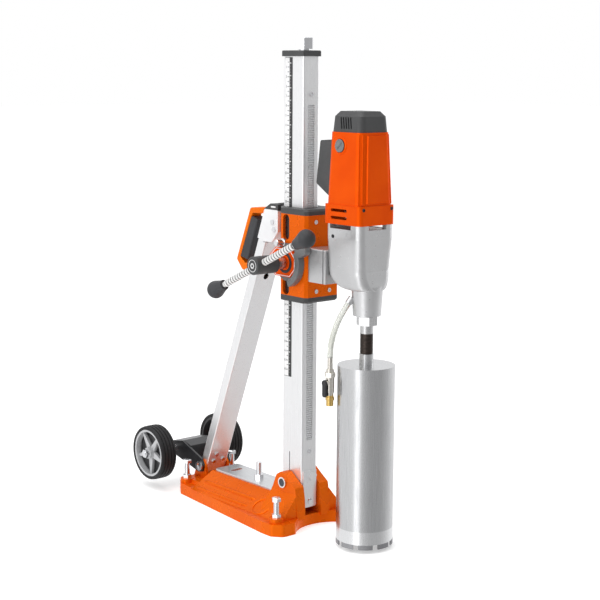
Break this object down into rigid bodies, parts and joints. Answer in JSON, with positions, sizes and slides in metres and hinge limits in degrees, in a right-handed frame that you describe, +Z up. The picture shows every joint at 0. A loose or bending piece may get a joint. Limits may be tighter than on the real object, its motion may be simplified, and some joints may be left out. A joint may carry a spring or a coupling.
{
  "type": "core drill rig",
  "caption": "Column-stand core drill: motor and water-fed core bit on a cranked carriage, tilting rack column with rear strut, cast base with levelling screws and transport wheels.",
  "frame": {"origin": "on the floor plane, at the column's axis, in the base's underside", "axes": "+Z up along the column; -Y towards the core bit; -X is the side with the feed crank"},
  "size_m": [0.2711, 0.7423, 1.039],
  "materials": {
    "orange_casting": "orange gloss paint on a casting",
    "orange_plastic": "orange moulded plastic",
    "grey_plastic": "dark grey moulded plastic",
    "black_plastic": "black moulded plastic",
    "grip_rubber": "soft dark grip",
    "black_paint": "black powder coat",
    "cast_aluminium": "bead-blasted die casting",
    "anodised": "satin clear anodised extrusion",
    "white_paint": "silver-white painted casting",
    "plate_steel": "rolled steel sheet",
    "zinc_steel": "bright zinc plated",
    "machined_steel": "machined bare steel",
    "crank_bar": "light grey ribbed bar",
    "barrel_steel": "turned and brushed steel tube",
    "segment_metal": "sintered diamond metal",
    "dark_thread": "black oxide thread",
    "tyre": "black tread rubber",
    "wheel_plastic": "light grey moulded rim",
    "ruler": "black printed scale",
    "hose": "translucent hose",
    "nickel": "nickel plated brass",
    "brass": "bare brass"
  },
  "bodies": {
    "base": {"base_casting": "orange_casting", "base_cover_plate": "plate_steel", "anchor_stud": "zinc_steel", "hex_nuts": "zinc_steel", "pivot_pins": "zinc_steel", "wheel_bracket": "black_paint", "wheel_axle": "zinc_steel"},
    "wheel_left": {"rim_left": "wheel_plastic", "tyre_left": "tyre"},
    "wheel_right": {"rim_right": "wheel_plastic", "tyre_right": "tyre"},
    "level_front_right": {"level_screw_front_right": "zinc_steel"},
    "level_front_left": {"level_screw_front_left": "zinc_steel"},
    "level_rear_right": {"level_screw_rear_right": "zinc_steel"},
    "level_rear_left": {"level_screw_rear_left": "zinc_steel"},
    "column": {"column_extrusion": "anodised", "column_screws": "zinc_steel", "gear_rack": "plate_steel", "ruler_strip": "ruler", "column_cap": "grey_plastic", "column_foot": "anodised"},
    "jack": {"jack_screw": "zinc_steel"},
    "strut": {"strut_tube": "anodised", "strut_head": "white_paint", "strut_head_cap": "grey_plastic", "strut_bolts": "zinc_steel", "carry_handle": "orange_plastic", "carry_grip": "grip_rubber"},
    "carriage": {"carriage_body": "orange_casting", "carriage_top_cover": "grey_plastic", "carriage_bottom_cover": "grey_plastic", "glide_pads": "black_plastic", "carriage_screws": "zinc_steel", "feed_bearing_plate": "orange_plastic", "mount_block": "cast_aluminium", "gearbox_housing": "cast_aluminium", "gearbox_cover": "cast_aluminium", "motor_housing": "orange_plastic", "motor_cap": "grey_plastic", "stator": "machined_steel", "carbon_brushes": "black_plastic", "shaft_bearings": "zinc_steel", "switch_box": "grey_plastic", "water_hose": "hose", "valve_body": "nickel", "water_connector": "brass"},
    "lock": {"lock_lever": "grey_plastic"},
    "pinion": {"feed_pinion": "machined_steel"},
    "crank": {"crank_shaft": "machined_steel", "crank_hub": "grey_plastic", "crank_bar": "crank_bar", "crank_knobs": "grip_rubber"},
    "rocker": {"power_switch": "black_plastic"},
    "armature": {"armature": "machined_steel"},
    "layshaft": {"layshaft": "machined_steel"},
    "spindle": {"spindle_shaft": "machined_steel", "bit_adapter": "dark_thread", "core_barrel": "barrel_steel", "diamond_segments": "segment_metal"},
    "valve_handle": {"valve_lever": "black_plastic"}
  },
  "joints": [
    {"name": "column_tilt", "type": "hinge", "parent": "base", "child": "column", "pos_m": [0, 0, 0.095], "axis": [-1, 0, 0], "range_deg": [0, 45]},
    {"name": "strut_swing", "type": "hinge", "parent": "base", "child": "strut", "pos_m": [0, 0.312, 0.062], "axis": [-1, 0, 0], "range_deg": [0, 51.76]},
    {"name": "jack_travel", "type": "slide", "parent": "column", "child": "jack", "axis": [0, 0, 1], "range_m": [0, 0.05]},
    {"name": "carriage_feed", "type": "slide", "parent": "column", "child": "carriage", "axis": [0, 0, 1], "range_m": [-0.33, 0.29]},
    {"name": "lock_turn", "type": "hinge", "parent": "carriage", "child": "lock", "pos_m": [-0.048, -0.015, 0.575], "axis": [-1, 0, 0], "range_deg": [0, 35]},
    {"name": "pinion_turn", "type": "hinge", "parent": "carriage", "child": "pinion", "pos_m": [0, -0.0435, 0.575], "axis": [1, 0, 0], "range_deg": [-1388, 1579]},
    {"name": "crank_turn", "type": "hinge", "parent": "carriage", "child": "crank", "pos_m": [-0.08, -0.015, 0.575], "axis": [1, 0, 0], "range_deg": [-3417, 3003]},
    {"name": "switch_rock", "type": "hinge", "parent": "carriage", "child": "rocker", "pos_m": [0.021, -0.112, 0.79], "axis": [0, 1, 0], "range_deg": [0, 14]},
    {"name": "spindle_spin", "type": "hinge", "parent": "carriage", "child": "spindle", "pos_m": [0, -0.2087, 0.45], "axis": [0, 0, 1], "continuous": true},
    {"name": "layshaft_spin", "type": "hinge", "parent": "carriage", "child": "layshaft", "pos_m": [0.01825, -0.19018, 0.61], "axis": [0, 0, 1], "continuous": true},
    {"name": "armature_spin", "type": "hinge", "parent": "carriage", "child": "armature", "pos_m": [0, -0.182, 0.74], "axis": [0, 0, 1], "continuous": true},
    {"name": "valve_turn", "type": "hinge", "parent": "carriage", "child": "valve_handle", "pos_m": [-0.068, -0.161, 0.344], "axis": [1, 0, 0], "range_deg": [0, 90]},
    {"name": "wheel_left_spin", "type": "hinge", "parent": "base", "child": "wheel_left", "pos_m": [-0.098, 0.4107, 0.0844], "axis": [1, 0, 0], "continuous": true},
    {"name": "wheel_right_spin", "type": "hinge", "parent": "base", "child": "wheel_right", "pos_m": [0.098, 0.4107, 0.0844], "axis": [1, 0, 0], "continuous": true},
    {"name": "level_front_right_travel", "type": "slide", "parent": "base", "child": "level_front_right", "axis": [0, 0, 1], "range_m": [-0.015, 0.02]},
    {"name": "level_front_left_travel", "type": "slide", "parent": "base", "child": "level_front_left", "axis": [0, 0, 1], "range_m": [-0.015, 0.02]},
    {"name": "level_rear_right_travel", "type": "slide", "parent": "base", "child": "level_rear_right", "axis": [0, 0, 1], "range_m": [-0.015, 0.02]},
    {"name": "level_rear_left_travel", "type": "slide", "parent": "base", "child": "level_rear_left", "axis": [0, 0, 1], "range_m": [-0.015, 0.02]}
  ],
  "couplings": [
    {"joint": "strut_swing", "follows": "column_tilt", "ratio": 1.15},
    {"joint": "pinion_turn", "follows": "carriage_feed", "rad_per_m": -83.333},
    {"joint": "crank_turn", "follows": "carriage_feed", "rad_per_m": 180.56},
    {"joint": "layshaft_spin", "follows": "spindle_spin", "ratio": -2.25},
    {"joint": "armature_spin", "follows": "spindle_spin", "ratio": 5.25}
  ]
}
